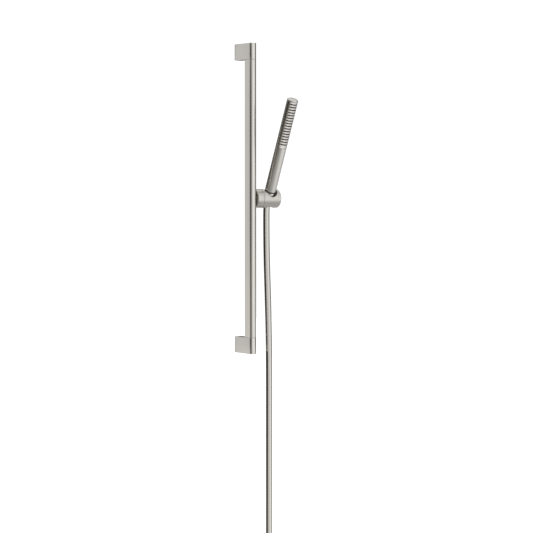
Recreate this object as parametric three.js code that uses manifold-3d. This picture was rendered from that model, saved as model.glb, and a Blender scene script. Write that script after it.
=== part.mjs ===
// Wall shower set: a rail on two brackets, a slider with a tilting holder, and a stick handset on a hose.
// Millimetres, +Z up, +X to the right when facing the wall, wall plane at y = 0, room side at negative y.
// The origin is the middle of the upper wall plate's back face.
import * as THREE from 'three'
import { mergeVertices } from 'three/addons/utils/BufferGeometryUtils.js'
import Module from 'manifold-3d'

const wasm = await Module()
wasm.setup()

// ---------------------------------------------------------------- driving dimensions

const GAP = 0.3

const RAIL = { width: 18, back: -39, front: -63, radius: 9 }
const BRACKET = { height: 35, wall: 2, cavityDepth: 33, rimBack: -1.3, spacing: 634 }
const HOLLOW = { x0: -7, x1: 1.4, y0: -57, y1: -41 }
const T_SLOT = { floor: 3.2, lip: 6.4, mouth: 6.4, head: 10.4 }

const SLIDER = { y: -46, z: -316, ringRadius: 20.4, ringStart: 9.5, ringEnd: 25.1 }
const BARREL = { start: 25.4, end: 69, radius: 20.4, boreX: 48.5, boreRadius: 15.3 }
const END_RECESS = { start: 65, radius: 9.3 }
const HOSE_SLOT_HALF = 8.25

const TILT = THREE.MathUtils.degToRad(23.3)
const SPRAY_TURN = THREE.MathUtils.degToRad(-13.5)

const BATON = { radius: 12.1, inner: 10.8, start: 18.2, capStart: 226.4, capRim: 228.6, end: 231.9 }
const STRIP = { inner: 10.6, start: 120.9, end: 226.1, halfAngle: 43.4, seam: 0.8 }
const GROOVE = { count: 16, first: 129.75, pitch: 6.08, height: 2.6, halfAngle: 39.5 }

const HOSE = { radius: 7, ferruleEnd: -7.6, sides: 10 }
const COIL = { radius: 75, x: 48.5, y: -48.7, z: -1183, turns: 1.68, pitch: 14.6, endShift: 7, startAngle: 120 }
const NUT_RADIUS = 12

const SIDES = { small: 14, medium: 24, large: 40 }

// ---------------------------------------------------------------- materials

const nickel = new THREE.MeshStandardMaterial({ color: 0xc9c5bc, metalness: 1, roughness: 0.32 })
const steel = new THREE.MeshStandardMaterial({ color: 0xb4b4b2, metalness: 1, roughness: 0.4 })
const brass = new THREE.MeshStandardMaterial({ color: 0xb8954f, metalness: 1, roughness: 0.45 })
const darkPlastic = new THREE.MeshStandardMaterial({ color: 0x2b2926, metalness: 0, roughness: 0.5 })
const greyPlastic = new THREE.MeshStandardMaterial({ color: 0x8d8f90, metalness: 0, roughness: 0.5 })
const whitePlastic = new THREE.MeshStandardMaterial({ color: 0xdcdad4, metalness: 0, roughness: 0.5 })
const rubber = new THREE.MeshStandardMaterial({ color: 0x1d1c1b, metalness: 0, roughness: 0.8 })
const hoseMaterial = new THREE.MeshStandardMaterial({ color: 0xc4c0b6, metalness: 1, roughness: 0.25 })

// ---------------------------------------------------------------- solids

// Turns a closed geometry into a solid: shared corners are merged, flat faces dropped, faces point out.
function solid(geometry) {
  const plain = geometry.clone()
  plain.deleteAttribute('normal')
  plain.deleteAttribute('uv')
  const merged = mergeVertices(plain, 1e-4)
  const position = merged.attributes.position
  const corners = merged.index.array
  const triangles = []
  let volume = 0
  const a = new THREE.Vector3()
  const b = new THREE.Vector3()
  const c = new THREE.Vector3()
  for (let i = 0; i < corners.length; i += 3) {
    const [p, q, r] = [corners[i], corners[i + 1], corners[i + 2]]
    if (p === q || q === r || r === p) continue
    triangles.push(p, q, r)
    a.fromBufferAttribute(position, p)
    b.fromBufferAttribute(position, q)
    c.fromBufferAttribute(position, r)
    volume += a.dot(b.cross(c))
  }
  if (volume < 0) triangles.reverse()
  return new wasm.Manifold(new wasm.Mesh({
    numProp: 3,
    vertProperties: new Float32Array(position.array),
    triVerts: new Uint32Array(triangles),
  }))
}

function cut(base, ...tools) {
  return tools.reduce((rest, tool) => rest.subtract(tool), base)
}

function join(base, ...more) {
  return more.reduce((whole, piece) => whole.add(piece), base)
}

function geometryOf(manifold) {
  const mesh = manifold.getMesh()
  const geometry = new THREE.BufferGeometry()
  geometry.setAttribute('position', new THREE.BufferAttribute(mesh.vertProperties, mesh.numProp))
  geometry.setIndex(new THREE.BufferAttribute(mesh.triVerts, 1))
  geometry.computeVertexNormals()
  return geometry
}

function add(parent, name, material, body) {
  const mesh = new THREE.Mesh(geometryOf(body), material)
  mesh.name = name
  parent.add(mesh)
  return mesh
}

// ---------------------------------------------------------------- basic shapes

function block([x0, x1], [y0, y1], [z0, z1]) {
  const geometry = new THREE.BoxGeometry(x1 - x0, y1 - y0, z1 - z0)
  geometry.translate((x0 + x1) / 2, (y0 + y1) / 2, (z0 + z1) / 2)
  return solid(geometry)
}

// Revolves [radius, height] points about the Z axis. A profile off the axis closes on itself.
function turned(profile, sides = SIDES.medium) {
  const points = profile.map(([r, h]) => new THREE.Vector2(r, h))
  const offAxis = profile.every(([r]) => r > 0)
  if (offAxis) points.push(points[0].clone())
  const geometry = new THREE.LatheGeometry(points, sides)
  geometry.rotateX(Math.PI / 2)
  return solid(geometry)
}

function disc(radius, from, to, sides) {
  return turned([[0, from], [radius, from], [radius, to], [0, to]], sides)
}

function tube(outer, inner, from, to, sides) {
  return turned([[inner, from], [outer, from], [outer, to], [inner, to]], sides)
}

// Moves a solid made along +Z so that it lies along +X, through the given y and z.
function alongX(body, y = 0, z = 0) {
  return body.rotate([0, 90, 0]).translate([0, y, z])
}

// Moves a solid made along +Z so that it lies along -Y, through the given x and z.
function alongMinusY(body, x = 0, z = 0) {
  return body.rotate([90, 0, 0]).translate([x, 0, z])
}

function extruded(shape, from, to, curveSegments = 12) {
  const geometry = new THREE.ExtrudeGeometry(shape, { depth: to - from, bevelEnabled: false, curveSegments })
  geometry.translate(0, 0, from)
  return solid(geometry)
}

// A stretch of a pipe wall on the spray side, which is local -Y.
function sector(inner, outer, halfAngle, from, to) {
  const half = THREE.MathUtils.degToRad(halfAngle)
  const middle = -Math.PI / 2
  const shape = new THREE.Shape()
  shape.absarc(0, 0, outer, middle - half, middle + half, false)
  shape.absarc(0, 0, inner, middle + half, middle - half, true)
  return extruded(shape, from, to, 5)
}

// ---------------------------------------------------------------- rail and brackets

// D-shaped section: flat back and sides, full round front.
function dShape(back) {
  const half = RAIL.width / 2
  const shape = new THREE.Shape()
  shape.moveTo(half, back)
  shape.lineTo(-half, back)
  shape.lineTo(-half, RAIL.front + RAIL.radius)
  shape.absarc(0, RAIL.front + RAIL.radius, RAIL.radius, Math.PI, 2 * Math.PI, false)
  return shape
}

function railProfile(top, bottom) {
  const half = RAIL.width / 2
  const length = [bottom, top]
  const mouth = [SLIDER.y - T_SLOT.mouth / 2, SLIDER.y + T_SLOT.mouth / 2]
  const head = [SLIDER.y - T_SLOT.head / 2, SLIDER.y + T_SLOT.head / 2]
  const through = [bottom - 1, top + 1]
  return cut(
    extruded(dShape(RAIL.back), ...length),
    block([T_SLOT.lip - 0.01, half + 1], mouth, through),
    block([T_SLOT.floor, T_SLOT.lip], head, through),
    block([HOLLOW.x0, HOLLOW.x1], [HOLLOW.y0, HOLLOW.y1], through),
  )
}

// side is +1 for the upper bracket, whose rail hangs below it, and -1 for the lower one.
function addBracket(parent, prefix, side) {
  const half = BRACKET.height / 2
  const innerHalf = RAIL.width / 2 - BRACKET.wall
  const station = new THREE.Group()
  station.position.z = side > 0 ? 0 : -BRACKET.spacing
  parent.add(station)

  const span = (from, to) => (side > 0 ? [-to, -from] : [from, to])
  const cavity = block([-innerHalf, innerHalf], [-BRACKET.cavityDepth, 1], [-half + BRACKET.wall, half - BRACKET.wall])
  const pocket = block([HOLLOW.x0, HOLLOW.x1], [HOLLOW.y0, HOLLOW.y1], span(-1, half + 1))
  const [screwX, screwZ] = [-2.8, -side * 9]
  const grubHole = disc(2.4, 0, half + 1, SIDES.small)
  const grubY = -15
  const grubTurned = side > 0 ? grubHole.rotate([180, 0, 0]) : grubHole
  const bracket = cut(
    extruded(dShape(BRACKET.rimBack), -half, half),
    cavity,
    pocket,
    alongMinusY(disc(2.1, 30, 45, SIDES.small), screwX, screwZ),
    grubTurned.translate([0, grubY, 0]),
  )
  add(station, `${prefix}_bracket`, nickel, bracket)

  const gasket = cut(
    block([-RAIL.width / 2 + 0.4, RAIL.width / 2 - 0.4], [-1, 0], [-half + 0.4, half - 0.4]),
    block([-innerHalf, innerHalf], [-2, 1], [-half + BRACKET.wall, half - BRACKET.wall]),
  )
  add(station, `${prefix}_wall_gasket`, rubber, gasket)

  const plateHalf = innerHalf - GAP
  const plateHeight = half - BRACKET.wall - GAP
  const bossHeight = 6
  const screwHoles = [-1, 1].map((end) => alongMinusY(disc(2.3, -1, 5, SIDES.small), 0, end * 10.4))
  const plate = cut(
    join(
      block([-plateHalf, plateHalf], [-3.5, 0], [-plateHeight, plateHeight]),
      block([-plateHalf, plateHalf], [-27, -3], [-bossHeight, bossHeight]),
    ),
    ...screwHoles,
  )
  add(station, `${prefix}_wall_plate`, steel, plate)

  const grub = disc(2.1, bossHeight + GAP, half - 0.6, SIDES.small)
  add(station, `${prefix}_grub_screw`, steel, (side > 0 ? grub.rotate([180, 0, 0]) : grub).translate([0, grubY, 0]))

  const insertX = [HOLLOW.x0 + GAP, HOLLOW.x1 - GAP]
  const insertY = [HOLLOW.y0 + GAP, HOLLOW.y1 - GAP]
  const insert = cut(
    block(insertX, insertY, span(0, half + 26)),
    alongMinusY(disc(1.8, 40, 58, SIDES.small), screwX, screwZ),
  )
  add(station, `${prefix}_rail_insert`, greyPlastic, insert)

  const insertScrew = join(disc(3.2, 30.4, 32.7, SIDES.small), disc(1.5, 32.6, 52, SIDES.small))
  add(station, `${prefix}_insert_screw`, steel, alongMinusY(insertScrew, screwX, screwZ))
}

function addRail(parent) {
  const seam = 0.35
  const half = BRACKET.height / 2
  add(parent, 'rail_profile', nickel, railProfile(-half - seam, -BRACKET.spacing + half + seam))
  addBracket(parent, 'upper', 1)
  addBracket(parent, 'lower', -1)
}

// ---------------------------------------------------------------- slider

function addSlider(parent) {
  const slider = new THREE.Group()
  slider.position.set(0, SLIDER.y, SLIDER.z)
  parent.add(slider)
  const noseHalf = T_SLOT.mouth / 2 - GAP
  const headHalf = T_SLOT.head / 2 - GAP
  const headX = [T_SLOT.floor + GAP, T_SLOT.lip - GAP]
  const nutHalf = 15
  const screwZ = 11
  const brakeHole = 2.7
  const endWall = 11.2
  const coreStart = endWall + GAP
  const coreEnd = 23.7
  const coreRadius = 17.6

  const tNut = cut(
    join(
      block(headX, [-headHalf, headHalf], [-nutHalf, nutHalf]),
      block([headX[1] - 0.1, coreStart - GAP], [-noseHalf, noseHalf], [-nutHalf, nutHalf]),
    ),
    alongX(disc(brakeHole, 0, 20, SIDES.small)),
    alongX(disc(1.8, 0, 20, SIDES.small), 0, screwZ),
    alongX(disc(1.8, 0, 20, SIDES.small), 0, -screwZ),
  )
  add(slider, 't_nut', steel, tNut)

  for (const [name, end] of [['upper_glide', 1], ['lower_glide', -1]]) {
    const z = [end * (nutHalf + GAP), end * (nutHalf + 4)].sort((p, q) => p - q)
    const glide = join(
      block(headX, [-headHalf, headHalf], z),
      block([headX[1] - 0.1, SLIDER.ringStart - GAP], [-noseHalf, noseHalf], z),
    )
    add(slider, name, whitePlastic, glide)
  }

  const edge = 0.6
  const ring = turned([
    [0, SLIDER.ringStart], [SLIDER.ringRadius - edge, SLIDER.ringStart],
    [SLIDER.ringRadius, SLIDER.ringStart + edge], [SLIDER.ringRadius, SLIDER.ringEnd],
    [coreRadius + GAP, SLIDER.ringEnd], [coreRadius + GAP, endWall], [0, endWall],
  ], SIDES.large)
  const neckWindow = block([0, 15], [-noseHalf - GAP, noseHalf + GAP], [-nutHalf - GAP, nutHalf + GAP])
  add(slider, 'slider_ring', nickel, cut(alongX(ring), neckWindow))

  const headPocket = (z) => alongX(disc(3.3, 14.5, 30, SIDES.small), 0, z)
  const core = cut(
    alongX(disc(coreRadius, coreStart, coreEnd, SIDES.large)),
    alongX(disc(4.6, 0, 30, SIDES.small)),
    alongX(disc(1.8, 0, 30, SIDES.small), 0, screwZ),
    alongX(disc(1.8, 0, 30, SIDES.small), 0, -screwZ),
    headPocket(screwZ),
    headPocket(-screwZ),
  )
  add(slider, 'slider_core', steel, core)

  for (const [name, z] of [['upper_carriage_screw', screwZ], ['lower_carriage_screw', -screwZ]]) {
    const screw = join(disc(3, 14.8, 17.4, SIDES.small), disc(1.5, 4.2, 15, SIDES.small))
    add(slider, name, steel, alongX(screw, 0, z))
  }

  add(slider, 'brake_pad', darkPlastic, alongX(disc(brakeHole - GAP, T_SLOT.floor + 0.1, 5.6, SIDES.small)))
  add(slider, 'brake_spring', steel, alongX(tube(2.3, 1.5, 5.9, 9.6, SIDES.small)))
  add(slider, 'brake_set_screw', steel, alongX(disc(2.4, 9.9, 14.4, SIDES.small)))
  add(slider, 'pivot_axle', steel, alongX(tube(4.3, 2.9, 12.2, 28.3, SIDES.small)))
  add(slider, 'tilt_friction_disc', darkPlastic, alongX(tube(15.5, 7, 24, 25.1, SIDES.medium)))
  add(slider, 'wave_spring', steel, alongX(tube(7, 4, 30.1, 31.2, SIDES.small)))

  const pivotScrew = join(disc(5.6, 31.5, 33, SIDES.small), disc(2.5, 16, 31.6, SIDES.small))
  add(slider, 'pivot_screw', steel, alongX(pivotScrew))
  return slider
}

// ---------------------------------------------------------------- holder

// A group whose +Z runs up the bore of the holder, and whose -Y faces the spray side.
function boreGroup(parent) {
  const group = new THREE.Group()
  group.position.set(BARREL.boreX, SLIDER.y, SLIDER.z)
  group.rotation.x = TILT
  parent.add(group)
  return group
}

// The same placing for a solid that is cut from something in the slider's own frame.
function placeInBore(body) {
  return body.rotate([THREE.MathUtils.radToDeg(TILT), 0, 0]).translate([BARREL.boreX, 0, 0])
}

function addHolder(slider, bore) {
  const r = BARREL.radius
  const edge = 0.8
  const barrel = alongX(turned([
    [0, BARREL.start], [r - edge, BARREL.start], [r, BARREL.start + edge],
    [r, BARREL.end - edge], [r - edge, BARREL.end], [0, BARREL.end],
  ], SIDES.large))
  const linerSeat = -9.5
  const lowerOpening = 12.8
  const hoseSlot = block([-HOSE_SLOT_HALF, HOSE_SLOT_HALF], [0, 30], [-30, 30])
  add(slider, 'holder_barrel', nickel, cut(
    barrel,
    alongX(disc(6.6, 20, 30, SIDES.small)),
    alongX(disc(8, 28.6, 36, SIDES.medium)),
    alongX(disc(END_RECESS.radius, END_RECESS.start, BARREL.end + 1, SIDES.medium)),
    placeInBore(disc(BARREL.boreRadius, linerSeat, 30, SIDES.large)),
    placeInBore(disc(lowerOpening, -30, linerSeat + 1, SIDES.medium)),
    placeInBore(hoseSlot),
  ))
  const capRadius = END_RECESS.radius - GAP
  const capFace = BARREL.end - 0.2
  add(slider, 'barrel_end_cap', nickel, alongX(turned([
    [0, END_RECESS.start + GAP], [capRadius, END_RECESS.start + GAP],
    [capRadius, capFace - 0.4], [capRadius - 0.4, capFace], [0, capFace],
  ], SIDES.medium)))
  add(slider, 'pivot_bush', whitePlastic, alongX(tube(6.3, 4.6, 25.7, 28.5, SIDES.small)))
  add(slider, 'pivot_washer', whitePlastic, alongX(tube(7.6, 4.6, 28.9, 29.8, SIDES.small)))

  const outer = BARREL.boreRadius - GAP
  const sleeve = turned([
    [11.1, linerSeat + GAP], [outer, linerSeat + GAP], [outer, 6.8],
    [14.3, 6.8], [12.6, 5.4], [12.35, 4.6],
  ], SIDES.large)
  const liner = cut(sleeve, hoseSlot)
  add(bore, 'socket_liner', darkPlastic, liner)
}

// ---------------------------------------------------------------- hose end inside the cone nut

function addSwivel(bore) {
  add(bore, 'swivel_stem', brass, turned([
    [3.9, HOSE.ferruleEnd], [4.9, HOSE.ferruleEnd], [4.9, 2.9], [9.6, 2.9], [9.6, 4.4], [3.9, 4.4],
  ]))
  add(bore, 'upper_ferrule', nickel, tube(7.6, 5.2, HOSE.ferruleEnd, 0.8))
  add(bore, 'swivel_bearing', whitePlastic, tube(9.6, 5.2, 1.2, 2.6))
}

// ---------------------------------------------------------------- handset

function addConeNut(bore) {
  add(bore, 'cone_nut', nickel, turned([
    [10.3, -15], [12, 5], [12, 15.1], [11.5, 15.6], [10.6, 15.6],
    [10.6, 5], [9.9, 5], [9.9, 0.9], [7.9, 0.9], [7.9, -1.6], [8.7, -2.6], [8.7, -15],
  ], SIDES.large))
  add(bore, 'inlet_washer', rubber, tube(9.6, 5.5, 4.7, 6.2))
  add(bore, 'joint_ring', rubber, tube(12.8, 10.6, 15.9, 17.9, SIDES.large))
}

function addInlet(bore) {
  const connector = turned([
    [7.4, 6.5], [10.3, 6.5], [10.3, 18.6], [10.5, 18.8], [10.5, 44],
    [7.4, 44], [7.4, 30], [6.2, 28.5], [6.2, 20.4], [7.4, 20.4],
  ])
  add(bore, 'inlet_connector', brass, connector)

  const holes = [0, 1, 2, 3, 4, 5].map((i) => {
    const angle = (i * Math.PI) / 3
    return disc(1.5, 0, 20, 8).translate([4.2 * Math.cos(angle), 4.2 * Math.sin(angle), 0])
  })
  const screen = cut(disc(7.1, 6.8, 7.6), disc(1.6, 0, 20, 8), ...holes)
  add(bore, 'filter_screen', steel, screen)

  add(bore, 'check_valve_body', whitePlastic, turned([
    [3.7, 8], [7.1, 8], [7.1, 20], [5.4, 20], [5.4, 10], [3.7, 10],
  ]))
  add(bore, 'check_valve_poppet', darkPlastic, turned([
    [0, 10.3], [4.8, 10.3], [4.8, 11.8], [1.2, 11.8], [1.2, 16.8], [0, 16.8],
  ], SIDES.small))
  add(bore, 'check_valve_spring', steel, tube(3.2, 2.4, 12.1, 17.9, SIDES.small))

  const ports = [0, 1, 2, 3, 4, 5].map((i) => {
    const angle = (i * Math.PI) / 3
    return disc(0.7, 0, 30, 8).translate([3.4 * Math.cos(angle), 3.4 * Math.sin(angle), 0])
  })
  add(bore, 'flow_limiter', whitePlastic, cut(disc(5.1, 18.2, 19.7), disc(1.6, 0, 30, SIDES.small), ...ports))
}

function addHead(bore) {
  const spray = new THREE.Group()
  spray.rotation.z = SPRAY_TURN
  bore.add(spray)

  const chassisTop = BATON.capStart - 6.7
  const skirtStart = chassisTop + 2
  const chassisStart = 114
  const chamberStart = 124
  const matInner = 8.9
  const matOuter = 10.3
  const windowHalf = STRIP.halfAngle + 1.4

  add(spray, 'baton_shell', nickel, cut(
    turned([
      [BATON.inner, BATON.start], [BATON.radius - 0.4, BATON.start], [BATON.radius, BATON.start + 0.4],
      [BATON.radius, BATON.capStart - GAP], [BATON.inner, BATON.capStart - GAP],
    ], SIDES.large),
    sector(9, 14, windowHalf, STRIP.start - STRIP.seam, BATON.end),
  ))

  add(spray, 'top_cap', nickel, cut(
    turned([
      [0, BATON.capStart], [9.2, BATON.capStart], [9.2, skirtStart], [BATON.inner - GAP, skirtStart],
      [BATON.inner - GAP, BATON.capStart], [BATON.radius, BATON.capStart],
      [BATON.radius, BATON.capRim - 0.7], [BATON.radius - 0.8, BATON.capRim + 0.3],
      [8.6, BATON.end - 1.6], [5, BATON.end - 0.5], [0, BATON.end],
    ], SIDES.large),
    sector(8, 14, windowHalf, skirtStart - 1, BATON.capStart),
  ))

  const grooveCentres = Array.from({ length: GROOVE.count }, (_, i) => GROOVE.first + i * GROOVE.pitch)
  const slots = grooveCentres.map((h) => (
    sector(9, 14, GROOVE.halfAngle, h - GROOVE.height / 2, h + GROOVE.height / 2)
  ))
  add(spray, 'spray_strip', nickel, cut(
    sector(STRIP.inner, BATON.radius, STRIP.halfAngle, STRIP.start, STRIP.end),
    ...slots,
  ))

  const ribHalf = GROOVE.height / 2 - GAP
  const ribs = grooveCentres.map((h) => sector(matOuter - 0.5, 11.3, GROOVE.halfAngle - 1.5, h - ribHalf, h + ribHalf))
  const mat = join(sector(matInner, matOuter, STRIP.halfAngle - 1, chamberStart - 2, skirtStart), ...ribs)
  add(spray, 'nozzle_mat', rubber, mat)

  const chassis = cut(
    disc(BATON.inner - GAP, chassisStart, chassisTop, SIDES.medium),
    sector(matInner - GAP, 14, windowHalf, chassisStart + 4, chassisTop + 1),
    block([-5.5, 5.5], [-12, 0], [chamberStart, chassisTop - 4]),
    disc(7.4, chassisStart - 1, chassisStart + 8),
    disc(3.6, chassisStart, chamberStart + 1),
  )
  add(spray, 'spray_chassis', whitePlastic, chassis)
  add(spray, 'water_tube', whitePlastic, tube(5.2, 4, 31, 121.4))
  add(spray, 'lower_oring', rubber, tube(7.1, 5.5, 37, 38.6))
  add(spray, 'upper_oring', rubber, tube(7.1, 5.5, 117.4, 119))
}

// ---------------------------------------------------------------- hose

// The hose's free stretch, from its exit in the nut to where it meets the coil: [y, z] at x = COIL.x.
const HOSE_ROUTE = [
  [-42.68, -323.7], [-40.6, -329.2], [-39.1, -336.4], [-38.4, -345], [-38.2, -362], [-38.3, -388],
  [-38.9, -420], [-40.1, -455], [-41.8, -490], [-43.6, -525], [-45.3, -560], [-46.6, -595],
  [-47.6, -630], [-48.3, -665], [-48.6, -700], [-48.7, -735], [-48.7, -770], [-48.7, -805],
  [-48.7, -840], [-48.7, -875], [-48.7, -910], [-48.7, -945], [-48.7, -980], [-48.7, -1015],
  [-48.7, -1053],
]

// The lead into the coil bends on the coil's own radius, about a centre one radius to the side.
function leadPoints() {
  const top = COIL.z + 2 * COIL.radius * Math.sin(Math.PI / 3)
  return [8, 16, 25, 34].map((degrees) => {
    const angle = THREE.MathUtils.degToRad(degrees)
    return new THREE.Vector3(
      COIL.x - COIL.radius * (1 - Math.cos(angle)),
      COIL.y,
      top - COIL.radius * Math.sin(angle),
    )
  })
}

function hoseTube() {
  const route = HOSE_ROUTE.map(([y, z]) => new THREE.Vector3(COIL.x, y, z))
  const curve = new THREE.CatmullRomCurve3([...route, ...leadPoints()], false, 'centripetal')
  const section = new THREE.Shape()
  for (let i = 0; i < HOSE.sides; i++) {
    const angle = (2 * Math.PI * i) / HOSE.sides
    const point = [HOSE.radius * Math.cos(angle), HOSE.radius * Math.sin(angle)]
    if (i === 0) section.moveTo(...point)
    else section.lineTo(...point)
  }
  return solid(new THREE.ExtrudeGeometry(section, { steps: 44, bevelEnabled: false, extrudePath: curve }))
}

// Where the hose's end lies: its place on the coil and the way it points.
const END_ANGLE = THREE.MathUtils.degToRad(COIL.startAngle + 360 * COIL.turns)
const END_Y = COIL.y + COIL.pitch * COIL.turns + COIL.endShift

// Places a solid made along +Z at the hose's end, pointing along the end's tangent.
function placeAtHoseEnd(body) {
  const x = COIL.x + COIL.radius * Math.cos(END_ANGLE)
  const z = COIL.z + COIL.radius * Math.sin(END_ANGLE)
  return body.rotate([0, -THREE.MathUtils.radToDeg(END_ANGLE), 0]).translate([x, END_Y, z])
}

function addHose(parent) {
  add(parent, 'hose_tube', hoseMaterial, hoseTube())

  const inner = COIL.radius - HOSE.radius - GAP
  const outer = COIL.radius + HOSE.radius + GAP
  const nearFace = -COIL.y + HOSE.radius + GAP
  const farFace = -(COIL.y + COIL.pitch * COIL.turns) - HOSE.radius - GAP
  const ring = alongMinusY(turned([[inner, farFace], [outer, farFace], [outer, nearFace], [inner, nearFace]], 48))
  const nutRoom = placeAtHoseEnd(disc(NUT_RADIUS + GAP, -GAP, 48))
  add(parent, 'hose_coil', hoseMaterial, cut(ring.translate([COIL.x, 0, COIL.z]), nutRoom))

  const tieAngle = 150
  const tieHalf = 7
  const tieThick = 1.6
  const radial = [inner - GAP, outer + GAP]
  const across = [-nearFace - GAP, -farFace + GAP]
  const tie = cut(
    block(
      [radial[0] - tieThick, radial[1] + tieThick],
      [across[0] - tieThick, across[1] + tieThick],
      [-tieHalf, tieHalf],
    ),
    block([radial[0] - 0.6, radial[1] + 0.6], across, [-20, 20]),
  )
  add(parent, 'hose_tie', darkPlastic, tie.rotate([0, -tieAngle, 0]).translate([COIL.x, 0, COIL.z]))

  add(parent, 'lower_ferrule', nickel, placeAtHoseEnd(turned([
    [4, 0], [7.9, 0], [7.9, 18], [6.4, 18], [6.4, 28], [10.4, 28], [10.4, 29.6], [4, 29.6],
  ])))
  add(parent, 'lower_nut', nickel, placeAtHoseEnd(turned([
    [6.8, 21], [10.6, 21], [NUT_RADIUS, 22.4], [NUT_RADIUS, 39.4], [11.5, 40],
    [10.8, 40], [10.8, 25.6], [6.8, 25.6],
  ], SIDES.large)))
  add(parent, 'lower_washer', rubber, placeAtHoseEnd(tube(10.3, 5, 29.9, 32)))
}

// ---------------------------------------------------------------- the whole set

const group = new THREE.Group()
addRail(group)
const slider = addSlider(group)
const bore = boreGroup(group)
addHolder(slider, bore)
addSwivel(bore)
addConeNut(bore)
addInlet(bore)
addHead(bore)
addHose(group)

export default group
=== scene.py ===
"""Looks of the wall shower set: brushed nickel rail, slider and stick handset on a metal-effect hose.

Lengths below are millimetres in the part's own frame (+Z up, wall at y = 0, room at negative y).
Meshes are scaled to metres when they are made.
"""
import math

import bmesh
import bpy
from mathutils import Matrix, Vector
from mathutils.geometry import tessellate_polygon

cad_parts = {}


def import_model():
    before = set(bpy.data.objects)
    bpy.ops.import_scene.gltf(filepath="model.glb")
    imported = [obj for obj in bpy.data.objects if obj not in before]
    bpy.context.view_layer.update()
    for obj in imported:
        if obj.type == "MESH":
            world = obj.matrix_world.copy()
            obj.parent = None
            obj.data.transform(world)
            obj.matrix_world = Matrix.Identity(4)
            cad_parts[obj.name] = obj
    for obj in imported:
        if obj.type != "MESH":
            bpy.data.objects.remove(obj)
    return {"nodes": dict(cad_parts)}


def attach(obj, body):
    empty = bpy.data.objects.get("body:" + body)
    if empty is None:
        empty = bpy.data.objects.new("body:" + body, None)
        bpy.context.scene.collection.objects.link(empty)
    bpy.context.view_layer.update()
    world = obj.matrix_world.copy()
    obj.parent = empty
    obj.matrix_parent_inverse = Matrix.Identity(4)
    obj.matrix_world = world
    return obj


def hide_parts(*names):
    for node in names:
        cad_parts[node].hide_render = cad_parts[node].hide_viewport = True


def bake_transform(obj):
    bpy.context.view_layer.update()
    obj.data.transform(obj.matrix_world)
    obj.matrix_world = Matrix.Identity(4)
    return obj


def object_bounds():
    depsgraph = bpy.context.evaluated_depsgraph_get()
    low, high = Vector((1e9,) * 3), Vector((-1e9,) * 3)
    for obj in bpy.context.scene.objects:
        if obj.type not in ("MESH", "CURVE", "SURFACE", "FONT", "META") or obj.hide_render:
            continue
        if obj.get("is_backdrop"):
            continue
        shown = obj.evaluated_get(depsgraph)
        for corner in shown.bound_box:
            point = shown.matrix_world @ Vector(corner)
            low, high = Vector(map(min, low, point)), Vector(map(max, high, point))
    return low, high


MM = 0.001
# Clearance between pieces that sit in one another.
GAP = 0.3
# Edges that turn by more degrees than this are drawn sharp.
SHARP_ANGLE = 32.0

# ------------------------------------------------------------ driving dimensions, as in part.mjs
# x, y and z are places in the part's frame. On the slider's axis, starts and ends are along X; on the
# handset and the bore, they are heights along the tilted axis. half is a half width.

RAIL = {"half": 9.0, "back": -39.0, "front": -63.0, "radius": 9.0}
T_SLOT = {"y": -46.0, "mouth": 3.2, "head": 5.2, "floor": 3.2, "lip": 6.4}
HOLLOW = {"x0": -7.0, "x1": 1.4, "y0": -57.0, "y1": -41.0}
BRACKET = {"half": 17.5, "rim_back": -1.3, "cavity": 33.0, "wall": 2.0, "spacing": 634.0}
RAIL_SEAM = 0.35

SLIDER = {"y": -46.0, "z": -316.0, "radius": 20.4, "start": 9.5, "end": 25.1}
RING = {"inner": 17.9, "floor": 11.2, "neck_end": 15.0, "neck_half": 15.3}
BARREL = {"start": 25.4, "end": 69.0, "radius": 20.4, "bore_x": 48.5, "bore": 15.3}
END_RECESS = {"start": 65.0, "radius": 9.3}
BARREL_EASE = 0.8
BARREL_COLUMNS = 160
AXLE_ROOM = {"start": 20.0, "end": 36.0, "radius": 8.0}
LOWER_OPENING = 12.8
# The barrel's two openings: side of the barrel, radius, and rounding of the rim.
MOUTHS = ((1, BARREL["bore"], 2.2), (-1, LOWER_OPENING, 1.4))
LINER_SEAT = -9.5
HOSE_SLOT = {"half": 8.25, "reach": 30.0}

TILT = math.radians(23.3)
SPRAY_TURN = math.radians(-13.5)

BATON = {"radius": 12.1, "inner": 10.8, "start": 18.2, "cap": 226.4, "rim": 228.6, "end": 231.9}
CAP_SKIRT = BATON["cap"] - 4.7
# For the strip and its slots, half is in degrees from the middle of the spray side.
STRIP = {"inner": 10.6, "start": 120.9, "end": 226.1, "half": 43.4, "seam": 0.8}
WINDOW_HALF = STRIP["half"] + 1.4
GROOVE = {"count": 16, "first": 129.75, "pitch": 6.08, "height": 2.6, "half": 39.5}
GROOVE_CENTRES = [GROOVE["first"] + i * GROOVE["pitch"] for i in range(GROOVE["count"])]
MAT = {"inner": 8.9, "outer": 10.3, "start": 122.0}
NOZZLES = {"count": 5, "pitch": 15.0}
# Radii inside and outside the pipe's wall, for tools that cut through it.
CUT_INNER = 9.0
CUT_OUTER = 14.0

HOSE_RADIUS = 7.0
COIL = {
    "radius": 75.0,
    "x": 48.5,
    "y": -48.7,
    "z": -1183.0,
    "turns": 1.68,
    "pitch": 14.6,
    "end_shift": 7.0,
    "late_turns": 0.25,
    "start": 120.0,
}
STRAP = {"at": 150.0, "clearance": 0.9, "half_width": 6.4, "half_thick": 0.55, "ease": 0.5}
NUT = {"radius": 12.0, "flutes": 24, "flute_depth": 0.5, "flute_start": 23.0, "flute_end": 38.0}

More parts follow.
